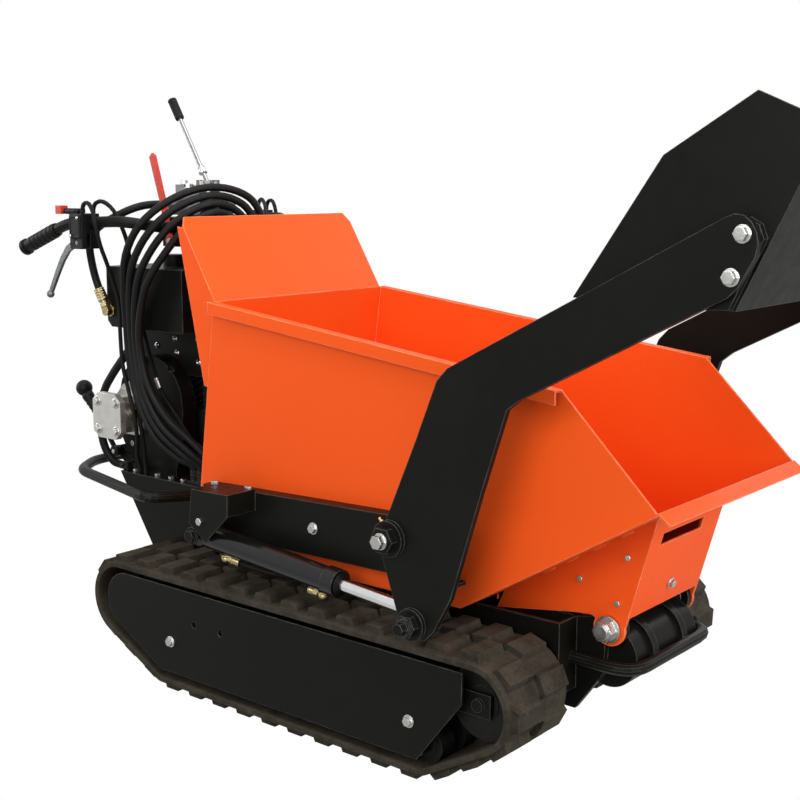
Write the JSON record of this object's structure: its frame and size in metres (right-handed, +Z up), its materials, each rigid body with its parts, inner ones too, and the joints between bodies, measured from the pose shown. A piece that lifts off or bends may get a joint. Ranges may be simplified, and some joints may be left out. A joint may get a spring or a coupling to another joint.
{
  "type": "tracked power carrier",
  "caption": "Walk-behind tracked carrier with a forward tipping steel box, self loading shovel on lift arms, rear engine, hydraulic valve and handlebar controls.",
  "frame": {"origin": "on the ground, under the middle of the whole machine's box", "axes": "+X forward towards the shovel, +Y to the machine's left, +Z up"},
  "size_m": [1.9529, 0.86, 1.2595],
  "materials": {
    "black_steel": "satin black powder coat",
    "orange_coat": "semi gloss orange powder coat",
    "zinc_plate": "bright zinc plating",
    "track_rubber": "matt moulded rubber, dusty",
    "soft_black": "moulded black plastic",
    "cast_grey": "die cast, tumbled",
    "chrome_bar": "hard chrome",
    "raw_aluminium": "raw machined casting",
    "red_coat": "dipped red coating",
    "brass_fitting": "yellow passivated fittings",
    "grip_rubber": "black rubber",
    "dark_iron": "dark cast metal"
  },
  "bodies": {
    "chassis": {"chassis_frame": "black_steel", "tube_guards": "black_steel", "track_frame_right": "black_steel", "track_frame_left": "black_steel", "track_belt_right": "track_rubber", "track_belt_left": "track_rubber", "gearbox": "dark_iron", "engine_block": "dark_iron", "engine_shroud": "soft_black", "muffler": "dark_iron", "air_filter": "soft_black", "fuel_tank": "soft_black", "bell_casing": "black_steel", "gear_pump": "raw_aluminium", "oil_tank": "black_steel", "control_console": "black_steel", "handlebar": "black_steel", "hand_grips": "grip_rubber", "lever_perches": "soft_black", "valve_block": "cast_grey", "pressure_hoses": "grip_rubber", "tank_hoses": "grip_rubber", "control_cables": "grip_rubber", "hose_fittings": "brass_fitting", "chassis_fasteners": "zinc_plate"},
    "box": {"dump_box": "orange_coat", "headboard": "orange_coat", "hinge_pedestal": "orange_coat", "loader_rail_right": "black_steel", "loader_rail_left": "black_steel", "box_fasteners": "zinc_plate"},
    "loader": {"arm_right": "black_steel", "arm_left": "black_steel", "shovel": "black_steel", "loader_pins": "black_steel", "shovel_bolts": "zinc_plate"},
    "steer_lever_right": {"steer_lever_right": "cast_grey"},
    "steer_lever_left": {"steer_lever_left": "cast_grey"},
    "throttle": {"throttle_lever": "red_coat"},
    "clutch": {"clutch_lever": "red_coat"},
    "gear_stick": {"gear_lever": "soft_black"},
    "gimbal": {"valve_gimbal": "zinc_plate"},
    "joystick": {"valve_lever": "chrome_bar"},
    "recoil": {"recoil_handle": "soft_black"},
    "filler_cap": {"oil_cap": "soft_black"},
    "lift_cylinder_barrels": {"lift_barrels": "black_steel", "lift_hoses": "grip_rubber"},
    "lift_cylinder_rods": {"lift_rods": "chrome_bar"},
    "tip_cylinder_barrel": {"tip_barrel": "black_steel"},
    "tip_cylinder_rod": {"tip_rod": "chrome_bar"},
    "sprocket_right": {"drive_sprocket_right": "dark_iron"},
    "idler_right": {"idler_right": "dark_iron"},
    "roller_right_rear": {"roller_right_rear": "dark_iron"},
    "roller_right_mid": {"roller_right_mid": "dark_iron"},
    "roller_right_front": {"roller_right_front": "dark_iron"},
    "sprocket_left": {"drive_sprocket_left": "dark_iron"},
    "idler_left": {"idler_left": "dark_iron"},
    "roller_left_rear": {"roller_left_rear": "dark_iron"},
    "roller_left_mid": {"roller_left_mid": "dark_iron"},
    "roller_left_front": {"roller_left_front": "dark_iron"}
  },
  "joints": [
    {"name": "box_tip", "type": "hinge", "parent": "chassis", "child": "box", "pos_m": [0.51753, 0, 0.281], "axis": [0, 1, 0], "range_deg": [0, 50]},
    {"name": "loader_lift", "type": "hinge", "parent": "box", "child": "loader", "pos_m": [0.22153, 0, 0.45], "axis": [0, -1, 0], "range_deg": [-68, 40]},
    {"name": "lift_barrel_swing", "type": "hinge", "parent": "box", "child": "lift_cylinder_barrels", "pos_m": [-0.32447, 0, 0.355], "axis": [0, -1, 0], "range_deg": [-3, 3]},
    {"name": "lift_rod_slide", "type": "slide", "parent": "lift_cylinder_barrels", "child": "lift_cylinder_rods", "axis": [0.9964, 0, -0.0851], "range_m": [-0.162, 0.096]},
    {"name": "tip_barrel_swing", "type": "hinge", "parent": "chassis", "child": "tip_cylinder_barrel", "pos_m": [-0.03447, 0, 0.17], "axis": [0, -1, 0], "range_deg": [-1, 21]},
    {"name": "tip_rod_slide", "type": "slide", "parent": "tip_cylinder_barrel", "child": "tip_cylinder_rod", "axis": [0.9811, 0, 0.1936], "range_m": [-0.002, 0.098]},
    {"name": "drive_right", "type": "hinge", "parent": "chassis", "child": "sprocket_right", "pos_m": [-0.56647, -0.2815, 0.17], "axis": [0, 1, 0], "continuous": true},
    {"name": "idler_spin_right", "type": "hinge", "parent": "chassis", "child": "idler_right", "pos_m": [0.38553, -0.2815, 0.17], "axis": [0, 1, 0], "continuous": true},
    {"name": "roller_spin_right_rear", "type": "hinge", "parent": "chassis", "child": "roller_right_rear", "pos_m": [-0.42947, -0.2815, 0.0586], "axis": [0, 1, 0], "continuous": true},
    {"name": "roller_spin_right_mid", "type": "hinge", "parent": "chassis", "child": "roller_right_mid", "pos_m": [-0.08097, -0.2815, 0.0586], "axis": [0, 1, 0], "continuous": true},
    {"name": "roller_spin_right_front", "type": "hinge", "parent": "chassis", "child": "roller_right_front", "pos_m": [0.26753, -0.2815, 0.0586], "axis": [0, 1, 0], "continuous": true},
    {"name": "steer_right", "type": "hinge", "parent": "chassis", "child": "steer_lever_right", "pos_m": [-0.76647, -0.279, 0.936], "axis": [0, 1, 0], "range_deg": [0, 22], "stiffness_Nm_per_rad": 2},
    {"name": "drive_left", "type": "hinge", "parent": "chassis", "child": "sprocket_left", "pos_m": [-0.56647, 0.2815, 0.17], "axis": [0, 1, 0], "continuous": true},
    {"name": "idler_spin_left", "type": "hinge", "parent": "chassis", "child": "idler_left", "pos_m": [0.38553, 0.2815, 0.17], "axis": [0, 1, 0], "continuous": true},
    {"name": "roller_spin_left_rear", "type": "hinge", "parent": "chassis", "child": "roller_left_rear", "pos_m": [-0.42947, 0.2815, 0.0586], "axis": [0, 1, 0], "continuous": true},
    {"name": "roller_spin_left_mid", "type": "hinge", "parent": "chassis", "child": "roller_left_mid", "pos_m": [-0.08097, 0.2815, 0.0586], "axis": [0, 1, 0], "continuous": true},
    {"name": "roller_spin_left_front", "type": "hinge", "parent": "chassis", "child": "roller_left_front", "pos_m": [0.26753, 0.2815, 0.0586], "axis": [0, 1, 0], "continuous": true},
    {"name": "steer_left", "type": "hinge", "parent": "chassis", "child": "steer_lever_left", "pos_m": [-0.76647, 0.279, 0.936], "axis": [0, 1, 0], "range_deg": [0, 22], "stiffness_Nm_per_rad": 2},
    {"name": "throttle_turn", "type": "hinge", "parent": "chassis", "child": "throttle", "pos_m": [-0.77847, -0.273, 1.005], "axis": [0, 0, 1], "range_deg": [-20, 35]},
    {"name": "clutch_swing", "type": "hinge", "parent": "chassis", "child": "clutch", "pos_m": [-0.64147, -0.131, 0.938], "axis": [0, -1, 0], "range_deg": [0, 20]},
    {"name": "gear_shift", "type": "hinge", "parent": "chassis", "child": "gear_stick", "pos_m": [-0.83947, -0.15, 0.43], "axis": [0, 1, 0], "range_deg": [-12, 12]},
    {"name": "valve_roll", "type": "hinge", "parent": "chassis", "child": "gimbal", "pos_m": [-0.59147, -0.06, 1.066], "axis": [1, 0, 0], "range_deg": [-10, 10], "stiffness_Nm_per_rad": 3},
    {"name": "valve_pitch", "type": "hinge", "parent": "gimbal", "child": "joystick", "pos_m": [-0.59147, -0.06, 1.066], "axis": [0, 1, 0], "range_deg": [-12, 12], "stiffness_Nm_per_rad": 3},
    {"name": "recoil_pull", "type": "slide", "parent": "chassis", "child": "recoil", "axis": [0.4226, 0, 0.9063], "range_m": [0, 0.02], "stiffness_N_per_m": 200},
    {"name": "cap_turn", "type": "hinge", "parent": "chassis", "child": "filler_cap", "pos_m": [-0.65447, -0.11, 0.89], "axis": [0, 0, 1], "continuous": true}
  ],
  "couplings": [
    {"joint": "lift_barrel_swing", "follows": "loader_lift", "ratio": 0.04},
    {"joint": "lift_rod_slide", "follows": "loader_lift", "m_per_rad": 0.1335},
    {"joint": "tip_barrel_swing", "follows": "box_tip", "ratio": 0.33},
    {"joint": "tip_rod_slide", "follows": "box_tip", "m_per_rad": 0.0917},
    {"joint": "idler_spin_right", "follows": "drive_right", "ratio": 1},
    {"joint": "roller_spin_right_rear", "follows": "drive_right", "ratio": 2.2086},
    {"joint": "roller_spin_right_mid", "follows": "drive_right", "ratio": 2.2086},
    {"joint": "roller_spin_right_front", "follows": "drive_right", "ratio": 2.2086},
    {"joint": "idler_spin_left", "follows": "drive_left", "ratio": 1},
    {"joint": "roller_spin_left_rear", "follows": "drive_left", "ratio": 2.2086},
    {"joint": "roller_spin_left_mid", "follows": "drive_left", "ratio": 2.2086},
    {"joint": "roller_spin_left_front", "follows": "drive_left", "ratio": 2.2086}
  ]
}
